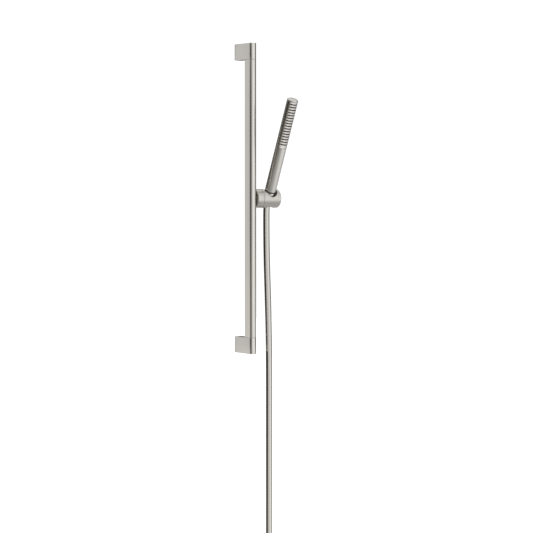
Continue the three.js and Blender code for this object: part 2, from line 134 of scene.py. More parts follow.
# The hose's free stretch, (y, z) at the coil's x, as in part.mjs.
HOSE_ROUTE = [
    (-42.68, -323.7), (-40.6, -329.2), (-39.1, -336.4), (-38.4, -345), (-38.2, -362), (-38.3, -388),
    (-38.9, -420), (-40.1, -455), (-41.8, -490), (-43.6, -525), (-45.3, -560), (-46.6, -595),
    (-47.6, -630), (-48.3, -665), (-48.6, -700), (-48.7, -735), (-48.7, -770), (-48.7, -805),
    (-48.7, -840), (-48.7, -875), (-48.7, -910), (-48.7, -945), (-48.7, -980), (-48.7, -1015),
    (-48.7, -1053),
]

# ------------------------------------------------------------ camera, floor and light, in metres

CAMERA_AT = (-2.1809, -3.2332, -0.2987)
CAMERA_AIM = (0.0514, -0.0347, -0.4645)
CAMERA_LENS = 120.83

FLOOR_REACH = 8.0
FLOOR_DROP = 0.004

# Brightness of the studio by direction: 0 is -X, 90 is the room at -Y, 180 is +X, -90 is the wall.
STUDIO_STOPS = [
    (-180, 0.2), (-140, 0.14), (-115, 0.12), (-60, 0.1), (-34, 0.01), (8, 0.015), (18, 0.14),
    (40, 0.24), (54, 0.5), (72, 0.9), (90, 0.98), (122, 0.98), (140, 0.8), (152, 0.2), (180, 0.2),
]
STUDIO_TOP = 0.76
STUDIO_FLOOR = 0.4
HAZE_LEFT = (0.21, 0.195, 0.165)
HAZE_RIGHT = 0.55
BACKDROP_STRENGTH = 1.1

# ------------------------------------------------------------ tones and brush lines

NICKEL = (0.76, 0.735, 0.69)
SLIDER_TONE = tuple(c * 0.9 for c in NICKEL)
# A brush line's size across, along a straight piece, and round a turned piece, in metres.
FINE = 0.00012
LONG = 0.02
TURNED = 0.004

# ------------------------------------------------------------ places

# The bore's middle, with local Z along the handset, and the same turned so that -Y is the spray side.
BORE = (
    Matrix.Translation((BARREL["bore_x"], SLIDER["y"], SLIDER["z"]))
    @ Matrix.Rotation(TILT, 4, "X")
)
SPRAY = BORE @ Matrix.Rotation(SPRAY_TURN, 4, "Z")
# Turns a shape made along +Z so that it lies along +X on the slider's axis.
SLIDER_AXIS = Matrix.Translation((0, SLIDER["y"], SLIDER["z"])) @ Matrix.Rotation(
    math.radians(90), 4, "Y"
)


# ------------------------------------------------------------ mesh helpers

def make_object(name, verts, faces, sharp_angle=SHARP_ANGLE):
    """A smooth-shaded mesh object from points in millimetres, with its normals pointing out."""
    mesh = bpy.data.meshes.new(name)
    mesh.from_pydata([Vector(v) * MM for v in verts], [], faces)
    mesh.validate()
    bm = bmesh.new()
    bm.from_mesh(mesh)
    bmesh.ops.remove_doubles(bm, verts=bm.verts, dist=1e-7)
    bmesh.ops.recalc_face_normals(bm, faces=bm.faces)
    bm.to_mesh(mesh)
    bm.free()
    obj = bpy.data.objects.new(name, mesh)
    bpy.context.scene.collection.objects.link(obj)
    shade(obj, sharp_angle)
    return obj


def shade(obj, sharp_angle):
    """Smooth shading, broken where faces meet at more than sharp_angle degrees."""
    for polygon in obj.data.polygons:
        polygon.use_smooth = True
    obj.data.set_sharp_from_angle(angle=math.radians(sharp_angle))


def rounded(profile, radius, steps=4):
    """A closed profile with arcs of about that radius at its corners, except on the axis."""
    points = [Vector(p) for p in profile]
    count = len(points)
    result = []
    for i, corner in enumerate(points):
        if corner.x < 1e-6:
            result.append(corner)
            continue
        before = points[i - 1] - corner
        after = points[(i + 1) % count] - corner
        reach = min(radius, 0.45 * before.length, 0.45 * after.length)
        first = corner + before.normalized() * reach
        last = corner + after.normalized() * reach
        for step in range(steps + 1):
            t = step / steps
            result.append(first * (1 - t) ** 2 + corner * 2 * t * (1 - t) + last * t ** 2)
    return result


def turned(name, profile, place, radius=0.4, sides=96):
    """Revolves a [radius, height] profile about the local Z axis of place."""
    axis_ends = any(p[0] < 1e-6 for p in profile)
    points = rounded(profile, radius)
    if axis_ends:
        points = [p for p in points if p.x > 1e-6 or p in (points[0], points[-1])]
    verts = []
    for p in points:
        for i in range(sides):
            angle = 2 * math.pi * i / sides
            verts.append(place @ Vector((p.x * math.cos(angle), p.x * math.sin(angle), p.y)))
    faces = []
    rings = len(points)
    for j in range(rings if not axis_ends else rings - 1):
        k = (j + 1) % rings
        for i in range(sides):
            n = (i + 1) % sides
            faces.append((j * sides + i, j * sides + n, k * sides + n, k * sides + i))
    return make_object(name, verts, faces)


def cut_away(obj, *tools):
    """Subtracts each tool from obj, for good, and removes the tools."""
    for tool in tools:
        modifier = obj.modifiers.new("cut", "BOOLEAN")
        modifier.operation = "DIFFERENCE"
        modifier.solver = "EXACT"
        modifier.object = tool
    bpy.context.view_layer.update()
    graph = bpy.context.evaluated_depsgraph_get()
    mesh = bpy.data.meshes.new_from_object(obj.evaluated_get(graph))
    obj.modifiers.clear()
    obj.data = mesh
    for tool in tools:
        bpy.data.objects.remove(tool)
    shade(obj, SHARP_ANGLE)
    return obj


def box_tool(x, y, z, place=Matrix.Identity(4)):
    """A box to cut with. Each of x, y and z is a lowest and a highest value."""
    corners = [place @ Vector((i, j, k)) for k in z for j in y for i in x]
    faces = [(0, 2, 3, 1), (4, 5, 7, 6), (0, 1, 5, 4), (2, 6, 7, 3), (0, 4, 6, 2), (1, 3, 7, 5)]
    return make_object("tool", corners, faces)


def disc_tool(radius, start, end, place, sides=48):
    """A disc to cut with, along the local Z axis of place."""
    return turned("tool", [(0, start), (radius, start), (radius, end), (0, end)], place, 0.01, sides)


def prism(name, outer, holes, levels):
    """A straight extrusion along Z. levels is [(z, inset)] from one end to the other."""
    count = len(outer)
    normals = []
    for i in range(count):
        side = (Vector(outer[(i + 1) % count]) - Vector(outer[i - 1])).normalized()
        normals.append(Vector((-side.y, side.x)))
    area = sum(
        outer[i - 1][0] * outer[i][1] - outer[i][0] * outer[i - 1][1] for i in range(count)
    )
    inward = 1 if area > 0 else -1
    verts, faces = [], []
    for z, inset in levels:
        for point, normal in zip(outer, normals):
            moved = Vector(point) + normal * inset * inward
            verts.append((moved.x, moved.y, z))
    for j in range(len(levels) - 1):
        for i in range(count):
            n = (i + 1) % count
            faces.append(
                (j * count + i, j * count + n, (j + 1) * count + n, (j + 1) * count + i)
            )
    hole_starts = []
    for hole in holes:
        start = len(verts)
        for z in (levels[0][0], levels[-1][0]):
            verts += [(x, y, z) for x, y in hole]
        size = len(hole)
        faces += [
            (start + i, start + (i + 1) % size, start + size + (i + 1) % size, start + size + i)
            for i in range(size)
        ]
        hole_starts.append(start)
    for end in (0, 1):
        base = 0 if end == 0 else (len(levels) - 1) * count
        index = [base + i for i in range(count)]
        loops = [[Vector((verts[i][0], verts[i][1], 0)) for i in index]]
        for hole, start in zip(holes, hole_starts):
            ids = [start + end * len(hole) + i for i in range(len(hole))]
            index += ids
            loops.append([Vector((verts[i][0], verts[i][1], 0)) for i in ids])
        faces += [tuple(index[i] for i in tri) for tri in tessellate_polygon(loops)]
    return make_object(name, verts, faces)


def tube_along(name, path, radius, sides):
    """A round tube with closed ends, whose rings don't twist along the path."""
    points = [Vector(p) for p in path]
    tangents = []
    for i in range(len(points)):
        ahead = points[min(i + 1, len(points) - 1)]
        behind = points[max(i - 1, 0)]
        tangents.append((ahead - behind).normalized())
    normal = tangents[0].orthogonal().normalized()
    verts, faces = [], []
    for point, tangent in zip(points, tangents):
        normal = (normal - tangent * normal.dot(tangent)).normalized()
        side = tangent.cross(normal)
        for i in range(sides):
            angle = 2 * math.pi * i / sides
            across = normal * math.cos(angle) + side * math.sin(angle)
            verts.append(point + across * radius)
    for j in range(len(points) - 1):
        for i in range(sides):
            n = (i + 1) % sides
            faces.append(
                (j * sides + i, j * sides + n, (j + 1) * sides + n, (j + 1) * sides + i)
            )
    faces.append(tuple(range(sides)))
    faces.append(tuple((len(points) - 1) * sides + i for i in range(sides)))
    return make_object(name, verts, faces, 50)


# ------------------------------------------------------------ materials

def node_material(name):
    """A new material, its node tree and its shader."""
    material = bpy.data.materials.new(name)
    material.use_nodes = True
    tree = material.node_tree
    return material, tree, tree.nodes["Principled BSDF"]


def add_node(tree, kind, **inputs):
    """A node with its inputs set. An underscore in a name stands for a space."""
    node = tree.nodes.new(kind)
    for key, value in inputs.items():
        node.inputs[key.replace("_", " ")].default_value = value
    return node


def stretched_noise(tree, turn, scale, detail=4.0):
    """Noise in the part's own frame, turned by turn and drawn out by scale."""
    coordinates = tree.nodes.new("ShaderNodeTexCoord")
    mapping = tree.nodes.new("ShaderNodeMapping")
    mapping.vector_type = "TEXTURE"
    mapping.inputs["Rotation"].default_value = turn
    mapping.inputs["Scale"].default_value = scale
    noise = add_node(tree, "ShaderNodeTexNoise", Scale=1.0, Detail=detail, Roughness=0.6)
    tree.links.new(coordinates.outputs["Object"], mapping.inputs["Vector"])
    tree.links.new(mapping.outputs["Vector"], noise.inputs["Vector"])
    return noise


def ramp_between(tree, source, low, high, start=0.3, end=0.7):
    """A colour that goes from low to high as source goes from start to end."""
    ramp = tree.nodes.new("ShaderNodeValToRGB")
    ramp.color_ramp.elements[0].position = start
    ramp.color_ramp.elements[1].position = end
    ramp.color_ramp.elements[0].color = (*low, 1)
    ramp.color_ramp.elements[1].color = (*high, 1)
    tree.links.new(source, ramp.inputs["Fac"])
    return ramp.outputs["Color"]


def range_between(tree, source, low, high, start=0.3, end=0.7):
    """A value that goes from low to high as source goes from start to end."""
    mapped = add_node(
        tree, "ShaderNodeMapRange", From_Min=start, From_Max=end, To_Min=low, To_Max=high
    )
    tree.links.new(source, mapped.inputs["Value"])
    return mapped.outputs["Result"]


def add_bump(tree, shader, source, strength, depth):
    """Relief from source. depth is in metres."""
    bump = add_node(tree, "ShaderNodeBump", Strength=strength, Distance=depth)
    tree.links.new(source, bump.inputs["Height"])
    tree.links.new(bump.outputs["Normal"], shader.inputs["Normal"])


def brushed_metal(name, colour, roughness, turn, scale, bump=0.05):
    """Metal with fine brush lines along the long side of scale, and a slow change of tone."""
    material, tree, shader = node_material(name)
    lines = stretched_noise(tree, turn, scale)
    clouds = stretched_noise(tree, (0, 0, 0), (0.05, 0.05, 0.05), 2.0)
    mix = tree.nodes.new("ShaderNodeMix")
    mix.data_type = "FLOAT"
    mix.inputs["Factor"].default_value = 0.35
    tree.links.new(lines.outputs["Fac"], mix.inputs["A"])
    tree.links.new(clouds.outputs["Fac"], mix.inputs["B"])
    low = tuple(c * 0.95 for c in colour)
    high = tuple(min(1.0, c * 1.05) for c in colour)
    tone = ramp_between(tree, mix.outputs["Result"], low, high)
    tree.links.new(tone, shader.inputs["Base Color"])
    rough = range_between(tree, lines.outputs["Fac"], roughness * 0.85, roughness * 1.2)
    tree.links.new(rough, shader.inputs["Roughness"])
    shader.inputs["Metallic"].default_value = 1.0
    add_bump(tree, shader, lines.outputs["Fac"], bump, 0.00002)
    return material


def moulded(name, low, high, roughness, grain=900.0, bump=0.25):
    """Moulded plastic or rubber: a fine grain and a faint change of tone."""
    material, tree, shader = node_material(name)
    fine = stretched_noise(tree, (0, 0, 0), (1 / grain,) * 3, 3.0)
    slow = stretched_noise(tree, (0, 0, 0), (0.012, 0.012, 0.012), 2.0)
    tone = ramp_between(tree, slow.outputs["Fac"], low, high)
    tree.links.new(tone, shader.inputs["Base Color"])
    rough = range_between(tree, slow.outputs["Fac"], roughness * 0.9, roughness * 1.12)
    tree.links.new(rough, shader.inputs["Roughness"])
    shader.inputs["Specular IOR Level"].default_value = 0.45
    add_bump(tree, shader, fine.outputs["Fac"], bump, 0.00004)
    return material


def hose_skin():
    """A metallised band wound under a clear skin."""
    material, tree, shader = node_material("hose_skin")
    coordinates = tree.nodes.new("ShaderNodeTexCoord")
    wave = add_node(tree, "ShaderNodeTexWave", Scale=95.0, Distortion=0.4, Detail=1.0)
    wave.bands_direction = "Z"
    tree.links.new(coordinates.outputs["Object"], wave.inputs["Vector"])
    tone = ramp_between(
        tree, wave.outputs["Fac"], (0.67, 0.645, 0.6), (0.72, 0.695, 0.65), 0.2, 0.8
    )
    tree.links.new(tone, shader.inputs["Base Color"])
    streaks = stretched_noise(tree, (0, 0, 0), (0.004, 0.004, 0.04))
    rough = range_between(tree, streaks.outputs["Fac"], 0.07, 0.11)
    tree.links.new(rough, shader.inputs["Roughness"])
    shader.inputs["Metallic"].default_value = 1.0
    shader.inputs["Coat Weight"].default_value = 0.25
    shader.inputs["Coat Roughness"].default_value = 0.08
    add_bump(tree, shader, wave.outputs["Fac"], 0.08, 0.00005)
    return material


def make_materials():
    """Every material by name. Brush lines run along rails and batons, and round turned parts."""
    upright, leaning = (0, 0, 0), (TILT, 0, 0)
    lengthwise, round_z = (FINE, FINE, LONG), (TURNED, TURNED, FINE)
    return {
        "rail_nickel": brushed_metal("rail_nickel", NICKEL, 0.17, upright, lengthwise),
        "slider_nickel": brushed_metal(
            "slider_nickel", SLIDER_TONE, 0.22, upright, (FINE, TURNED, TURNED)
        ),
        "baton_nickel": brushed_metal("baton_nickel", NICKEL, 0.27, leaning, lengthwise),
        "nut_nickel": brushed_metal("nut_nickel", NICKEL, 0.25, leaning, round_z),
        "plain_steel": brushed_metal(
            "plain_steel", (0.6, 0.6, 0.595), 0.34, upright, (0.003, FINE, 0.003)
        ),
        "brass": brushed_metal("brass", (0.78, 0.57, 0.28), 0.3, leaning, round_z),
        "dark_plastic": moulded("dark_plastic", (0.022, 0.021, 0.02), (0.034, 0.032, 0.03), 0.48),
        "grey_plastic": moulded("grey_plastic", (0.27, 0.28, 0.29), (0.33, 0.34, 0.35), 0.5),
        "white_plastic": moulded("white_plastic", (0.7, 0.69, 0.65), (0.78, 0.77, 0.73), 0.42),
        "rubber": moulded("rubber", (0.02, 0.02, 0.019), (0.034, 0.033, 0.031), 0.6, 700.0, 0.4),
        "hose_skin": hose_skin(),
    }


# ------------------------------------------------------------ rail and brackets

def d_outline(back, with_slot):
    """The rail's section, anticlockwise from its back right corner, with small round corners."""
    half, radius, corner = RAIL["half"], RAIL["radius"], 0.5
    centre = RAIL["front"] + radius
    outline = []
    for side, start in ((1, 0), (-1, 90)):
        for step in range(4):
            angle = math.radians(start + 30 * step)
            x = side * (half - corner) + corner * math.cos(angle)
            outline.append((x, back - corner + corner * math.sin(angle)))
    for step in range(49):
        angle = math.pi + math.pi * step / 48
        outline.append((radius * math.cos(angle), centre + radius * math.sin(angle)))
    if with_slot:
        mouth, head = T_SLOT["mouth"], T_SLOT["head"]
        y, floor, lip = T_SLOT["y"], T_SLOT["floor"], T_SLOT["lip"]
        ease = 0.3
        outline += [
            (half, y - mouth - ease), (half - ease, y - mouth), (lip, y - mouth),
            (lip, y - head), (floor, y - head), (floor, y + head),
            (lip, y + head), (lip, y + mouth), (half - ease, y + mouth), (half, y + mouth + ease),
        ]
    return outline


def edge_levels(bottom, top, ease=0.45):
    """Heights and insets that round off both ends of an extrusion."""
    lower = []
    for degrees in (0, 30, 60, 90):
        t = math.radians(degrees)
        lower.append((bottom + ease * (1 - math.cos(t)), ease * (1 - math.sin(t))))
    upper = [(top - (z - bottom), inset) for z, inset in reversed(lower)]
    return lower + upper


def make_rail():
    """The rail with its inner hollow and the T-slot along its right side."""
    hollow = [
        (HOLLOW["x0"], HOLLOW["y0"]), (HOLLOW["x1"], HOLLOW["y0"]),
        (HOLLOW["x1"], HOLLOW["y1"]), (HOLLOW["x0"], HOLLOW["y1"]),
    ]
    top = -BRACKET["half"] - RAIL_SEAM
    bottom = -BRACKET["spacing"] - top
    return prism("rail", d_outline(RAIL["back"], True), [hollow], edge_levels(bottom, top, 0.3))


def make_bracket(name, side):
    """One of the rail's two wall brackets. side is +1 for the upper one and -1 for the lower one."""
    half = BRACKET["half"]
    middle = 0 if side > 0 else -BRACKET["spacing"]
    block = prism(
        name, d_outline(BRACKET["rim_back"], False), [], edge_levels(middle - half, middle + half)
    )
    inner = RAIL["half"] - BRACKET["wall"]
    inner_z = half - BRACKET["wall"]
    cavity = box_tool(
        (-inner, inner), (-BRACKET["cavity"], 1), (middle - inner_z, middle + inner_z)
    )
    away = (middle - half - 1, middle + 1) if side > 0 else (middle - 1, middle + half + 1)
    pocket = box_tool((HOLLOW["x0"], HOLLOW["x1"]), (HOLLOW["y0"], HOLLOW["y1"]), away)
    towards_end = Matrix.Rotation(math.pi if side > 0 else 0, 4, "X")
    grub = disc_tool(2.4, 0, half + 1, Matrix.Translation((0, -15, middle)) @ towards_end, 32)
    return cut_away(block, cavity, pocket, grub)


# ------------------------------------------------------------ slider and holder

def make_ring():
    """The slider's outer ring: a cup round the core, open where the core's neck enters the rail."""
    r, inner, floor = SLIDER["radius"], RING["inner"], RING["floor"]
    ring = turned("slider_ring_skin", [
        (0, SLIDER["start"]), (r, SLIDER["start"]), (r, SLIDER["end"]),
        (inner, SLIDER["end"]), (inner, floor), (0, floor),
    ], SLIDER_AXIS, 0.7, 128)
    neck = box_tool(
        (0, RING["neck_end"]),
        (SLIDER["y"] - T_SLOT["mouth"], SLIDER["y"] + T_SLOT["mouth"]),
        (SLIDER["z"] - RING["neck_half"], SLIDER["z"] + RING["neck_half"]),
    )
    return cut_away(ring, neck)


def mouth_edge(hole, angle, side, rounding, steps=6):
    """Points over the rounded edge where a bore of radius hole meets the barrel, from outside in."""
    r = BARREL["radius"]
    across = Vector((math.cos(angle), math.sin(angle)))
    height = math.sqrt(r ** 2 - (hole * across.y) ** 2)
    slope = math.atan(hole * across.y ** 2 / height)
    setback = rounding / math.tan((math.pi / 2 - slope) / 2)
    reach = hole + setback * math.cos(slope)
    outside = Vector((reach, math.sqrt(r ** 2 - (reach * across.y) ** 2)))
    corner = Vector((hole, height))
    inside = Vector((hole, height - setback))
    points = []
    for step in range(steps + 1):
        t = step / steps
        p = outside * (1 - t) ** 2 + corner * 2 * t * (1 - t) + inside * t ** 2
        points.append(Vector((p.x * across.x, p.x * across.y, side * p.y)))
    return points


def barrel_border(angle, low, high):
    """Where a ray from the bore's axis leaves the barrel's unrolled half, and if at an end face."""
    half_round = BARREL["radius"] * math.pi / 2
    across = Vector((math.cos(angle), math.sin(angle)))
    reach_x = (high if across.x > 0 else low) / across.x if abs(across.x) > 1e-9 else 1e9
    reach_round = half_round / abs(across.y) if abs(across.y) > 1e-9 else 1e9
    reach = min(reach_x, reach_round)
    return Vector((across.x * reach, across.y * reach)), reach_x <= reach_round * (1 + 1e-9)


def on_barrel(x, length_round, side, radius=None):
    """A point from its place on the unrolled half, at the barrel's radius or a smaller one."""
    r = BARREL["radius"]
    turn = length_round / r
    radius = radius or r
    return Vector((x, radius * math.sin(turn), side * radius * math.cos(turn)))


def barrel_angles(low, high):
    """Even directions round the bore, with the nearest one moved to each corner of the half."""
    half_round = BARREL["radius"] * math.pi / 2
    angles = [2 * math.pi * i / BARREL_COLUMNS for i in range(BARREL_COLUMNS)]
    for x in (low, high):
        for way in (-1, 1):
            corner = math.atan2(way * half_round, x) % (2 * math.pi)
            nearest = min(range(BARREL_COLUMNS), key=lambda i: abs(angles[i] - corner))
            angles[nearest] = corner
    return angles


def barrel_column(angle, border):
    """One direction's points: in over the upper half, down the bore, and out over the lower half."""
    r = BARREL["radius"]
    column = []
    for side, hole, rounding in MOUTHS:
        edge = mouth_edge(hole, angle, side, rounding)
        start = Vector((edge[0].x, r * math.asin(edge[0].y / r)))
        rows = [on_barrel(*start.lerp(border, k / 14), side) for k in range(14, 0, -1)] + edge
        seat = Vector((hole * math.cos(angle), hole * math.sin(angle), LINER_SEAT))
        column += rows + [seat] if side > 0 else [seat] + rows[::-1]
    return column


def end_line(border, side):
    """Points from the barrel's rim, over its rounded edge and down its end face to the axis."""
    r, ease = BARREL["radius"], BARREL_EASE
    outward = 1 if border.x > 0 else -1
    depth = BARREL["end"] - END_RECESS["start"] if outward > 0 else 0.0
    line = []
    for step in range(5):
        t = math.radians(22.5 * step)
        line.append(on_barrel(
            border.x + outward * ease * math.sin(t), border.y, side, r - ease * (1 - math.cos(t))
        ))
    x_end = border.x + outward * ease
    line.append(on_barrel(x_end, border.y, side, END_RECESS["radius"]))
    line.append(on_barrel(x_end - depth, border.y, side, END_RECESS["radius"]))
    line.append(on_barrel(x_end - depth, border.y, side, 0.01))
    return line


def hose_slot_tool():
    """The slot through the holder's back, wide enough to lay the hose in."""
    half, reach = HOSE_SLOT["half"], HOSE_SLOT["reach"]
    return box_tool((-half, half), (0, reach), (-reach, reach), BORE)


def make_barrel():
    """The holder's barrel, with a round-edged mouth for the cone nut above and an opening below."""
    low = BARREL["start"] - BARREL["bore_x"] + BARREL_EASE
    high = BARREL["end"] - BARREL["bore_x"] - BARREL_EASE
    angles = barrel_angles(low, high)
    borders = [barrel_border(angle, low, high) for angle in angles]
    verts, faces = [], []
    for angle, (border, _) in zip(angles, borders):
        verts += [BORE @ p for p in barrel_column(angle, border)]
    columns = len(angles)
    rows = len(verts) // columns
    for i in range(columns):
        n = (i + 1) % columns
        for j in range(rows - 1):
            faces.append((i * rows + j, i * rows + j + 1, n * rows + j + 1, n * rows + j))
    for side in (1, -1):
        for i in range(columns):
            (here, at_end), (there, still_at_end) = borders[i], borders[(i + 1) % columns]
            if not (at_end and still_at_end and here.x * there.x > 0):
                continue
            base = len(verts)
            lines = [end_line(here, side), end_line(there, side)]
            size = len(lines[0])
            verts += [BORE @ p for line in lines for p in line]
            faces += [
                (base + k, base + k + 1, base + size + k + 1, base + size + k)
                for k in range(size - 1)
            ]
    barrel = make_object("holder_barrel_skin", verts, faces)
    axle_room = disc_tool(AXLE_ROOM["radius"], AXLE_ROOM["start"], AXLE_ROOM["end"], SLIDER_AXIS)
    return cut_away(barrel, hose_slot_tool(), axle_room)


def make_end_cap():
    """The small disc in the recess of the barrel's free end."""
    start, face = END_RECESS["start"] + GAP, BARREL["end"] - 0.2
    radius = END_RECESS["radius"] - GAP
    return turned("barrel_end_disc", [
        (0, start), (radius, start), (radius, face), (0, face),
    ], SLIDER_AXIS, 0.5, 128)


def make_liner():
    """The soft sleeve in the bore that the cone nut rests in."""
    seat = LINER_SEAT + GAP
    outer = BARREL["bore"] - GAP
    liner = turned("socket_sleeve", [
        (11.1, seat), (outer, seat), (outer, 6.8), (14.3, 6.8), (12.6, 5.4), (12.35, 4.6),
    ], BORE, 0.35, 96)
    return cut_away(liner, hose_slot_tool())


# ------------------------------------------------------------ handset

def make_cone_nut():
    """The tapered nut at the handset's foot, with its seat for the hose end inside."""
    return turned("cone_nut_skin", [
        (10.3, -15), (12, 5), (12, 15.6), (10.6, 15.6), (10.6, 5), (9.9, 5),
        (9.9, 0.9), (7.9, 0.9), (7.9, -1.6), (8.7, -2.6), (8.7, -15),
    ], BORE, 0.5, 128)


def polar(radius, degrees, height):
    """A point at that radius and angle about the local Z axis."""
    angle = math.radians(degrees)
    return Vector((radius * math.cos(angle), radius * math.sin(angle), height))


def make_baton():
    """The pipe with its window for the spray strip, which faces local -Y."""
    outer, inner = BATON["radius"], BATON["inner"]
    pipe = turned("baton_skin", [
        (inner, BATON["start"]), (outer, BATON["start"]),
        (outer, BATON["cap"] - GAP), (inner, BATON["cap"] - GAP),
    ], SPRAY, 0.4, 160)
    window = sector_object(
        "tool", CUT_INNER, CUT_OUTER, WINDOW_HALF,
        STRIP["start"] - STRIP["seam"], BATON["end"], SPRAY,
    )
    return cut_away(pipe, window)


def sector_object(name, inner, outer, half, start, end, place, steps=24):
    """A stretch of a pipe wall on the spray side, which is local -Y."""
    verts, faces = [], []
    for height in (start, end):
        for radius in (inner, outer):
            for i in range(steps + 1):
                degrees = -90 - half + 2 * half * i / steps
                verts.append(place @ polar(radius, degrees, height))
    row = steps + 1
    for i in range(steps):
        for a, b in ((0, 1), (1, 3), (3, 2), (2, 0)):
            faces.append((a * row + i, a * row + i + 1, b * row + i + 1, b * row + i))
    for i in (0, steps):
        faces.append((i, row + i, 3 * row + i, 2 * row + i))
    return make_object(name, verts, faces)


def slot_tool(centre):
    """A round-ended slot across the strip, as a solid that reaches through its wall."""
    half_height = GROOVE["height"] / 2
    end = math.degrees(half_height / BATON["radius"])
    straight = GROOVE["half"] - end
    columns = []
    for step in range(1, 8):
        turn = math.radians(90 * step / 8)
        columns.append((-straight - end * math.cos(turn), half_height * math.sin(turn)))
    pieces = 14
    columns += [(straight * (2 * k / pieces - 1), half_height) for k in range(pieces + 1)]
    columns += [(-degrees, height) for degrees, height in columns[6::-1]]
    verts = []
    for degrees, height in columns:
        for radius, way in ((CUT_INNER, -1), (CUT_OUTER, -1), (CUT_OUTER, 1), (CUT_INNER, 1)):
            verts.append(SPRAY @ polar(radius, -90 + degrees, centre + way * height))
    faces = [(0, 1, 2, 3), tuple(len(verts) - 4 + k for k in range(4))]
    for i in range(len(columns) - 1):
        for k in range(4):
            n = (k + 1) % 4
            faces.append((4 * i + k, 4 * i + n, 4 * i + 4 + n, 4 * i + 4 + k))
    return make_object("tool", verts, faces)


def make_strip():
    """The spray strip: a curved plate with a row of round-ended slots across it."""
    strip = sector_object(
        "spray_strip_skin", STRIP["inner"], BATON["radius"], STRIP["half"],
        STRIP["start"], STRIP["end"], SPRAY, 36,
    )
    strip = cut_away(strip, *[slot_tool(centre) for centre in GROOVE_CENTRES])
    soften(strip, 0.16)
    return strip


def soften(obj, width, angle=40.0):
    """Small round edges where faces meet at more than the angle."""
    bevel = obj.modifiers.new("soft_edges", "BEVEL")
    bevel.width = width
    bevel.segments = 2
    bevel.limit_method = "ANGLE"
    bevel.angle_limit = math.radians(angle)
    bevel.harden_normals = False


def make_nozzles():
    """The soft mat under the strip, with a row of small nozzles in each slot."""
    mat = sector_object(
        "nozzle_mat_skin", MAT["inner"], MAT["outer"], STRIP["half"] - 1,
        MAT["start"], CAP_SKIRT, SPRAY,
    )
    parts = [mat]
    facing_out = Matrix.Rotation(math.radians(90), 4, "X")
    for centre in GROOVE_CENTRES:
        for k in range(NOZZLES["count"]):
            degrees = NOZZLES["pitch"] * (k - (NOZZLES["count"] - 1) / 2)
            turn = Matrix.Rotation(math.radians(degrees), 4, "Z")
            place = SPRAY @ turn @ Matrix.Translation((0, 0, centre)) @ facing_out
            parts.append(turned("nozzle", [
                (0.35, 10.9), (0.35, 11.5), (0.62, 11.5), (0.95, 10.2), (0.35, 10.2),
            ], place, 0.12, 14))
    return joined(parts, "nozzle_mat_skin")


def joined(parts, name):
    """One object from several, under a new name."""
    bm = bmesh.new()
    for part in parts:
        bm.from_mesh(part.data)
    mesh = bpy.data.meshes.new(name)
    bm.to_mesh(mesh)
    bm.free()
    for part in parts:
        bpy.data.objects.remove(part)
    obj = bpy.data.objects.new(name, mesh)
    bpy.context.scene.collection.objects.link(obj)
    shade(obj, 35)
    return obj


def make_cap():
    """The low domed cap, whose skirt inside the pipe is open where the spray strip is."""
    r, face, end = BATON["radius"], BATON["cap"], BATON["end"]
    cap = turned("top_cap_skin", [
        (0, face), (9.2, face), (9.2, CAP_SKIRT), (10.5, CAP_SKIRT), (10.5, face),
        (r, face), (r, BATON["rim"]), (8.8, end - 1.4), (4.5, end - 0.3), (0, end),
    ], SPRAY, 1.2, 128)
    opening = sector_object("tool", 8, CUT_OUTER, WINDOW_HALF, CAP_SKIRT - 1, face, SPRAY)
    return cut_away(cap, opening)


# ------------------------------------------------------------ hose

def catmull(points, steps):
    """A smooth line through the points, with spacing that follows the distances between them."""
    line = []
    padded = [points[0] * 2 - points[1], *points, points[-1] * 2 - points[-2]]
    for i in range(1, len(padded) - 2):
        p0, p1, p2, p3 = padded[i - 1:i + 3]
        t1 = (p1 - p0).length ** 0.5
        t2 = t1 + (p2 - p1).length ** 0.5
        t3 = t2 + (p3 - p2).length ** 0.5
        for step in range(steps):
            t = t1 + (t2 - t1) * step / steps
            a1 = p0 * (t1 - t) / t1 + p1 * t / t1
            a2 = p1 * (t2 - t) / (t2 - t1) + p2 * (t - t1) / (t2 - t1)
            a3 = p2 * (t3 - t) / (t3 - t2) + p3 * (t - t2) / (t3 - t2)
            b1 = a1 * (t2 - t) / t2 + a2 * t / t2
            b2 = a2 * (t3 - t) / (t3 - t1) + a3 * (t - t1) / (t3 - t1)
            line.append(b1 * (t2 - t) / (t2 - t1) + b2 * (t - t1) / (t2 - t1))
    line.append(points[-1])
    return line


def hose_path():
    """The hose's centreline: the free stretch, the lead into the coil, and the coil."""
    free = catmull([Vector((COIL["x"], y, z)) for y, z in HOSE_ROUTE], 5)
    # The lead is an arc as wide as the coil, from the end of the free stretch to the coil's start.
    top = COIL["z"] + 2 * COIL["radius"] * math.sin(math.pi / 3)
    lead = []
    for degrees in range(4, 60, 4):
        angle = math.radians(degrees)
        lead.append(Vector((
            COIL["x"] - COIL["radius"] * (1 - math.cos(angle)),
            COIL["y"],
            top - COIL["radius"] * math.sin(angle),
        )))
    coil = []
    steps = 168
    for i in range(steps + 1):
        turn = COIL["turns"] * i / steps
        angle = math.radians(COIL["start"] + 360 * turn)
        late = max(0.0, (turn - (COIL["turns"] - COIL["late_turns"])) / COIL["late_turns"])
        shift = COIL["end_shift"] * late * late * (3 - 2 * late)
        coil.append(Vector((
            COIL["x"] + COIL["radius"] * math.cos(angle),
            COIL["y"] + COIL["pitch"] * turn + shift,
            COIL["z"] + COIL["radius"] * math.sin(angle),
        )))
    return free + lead + coil


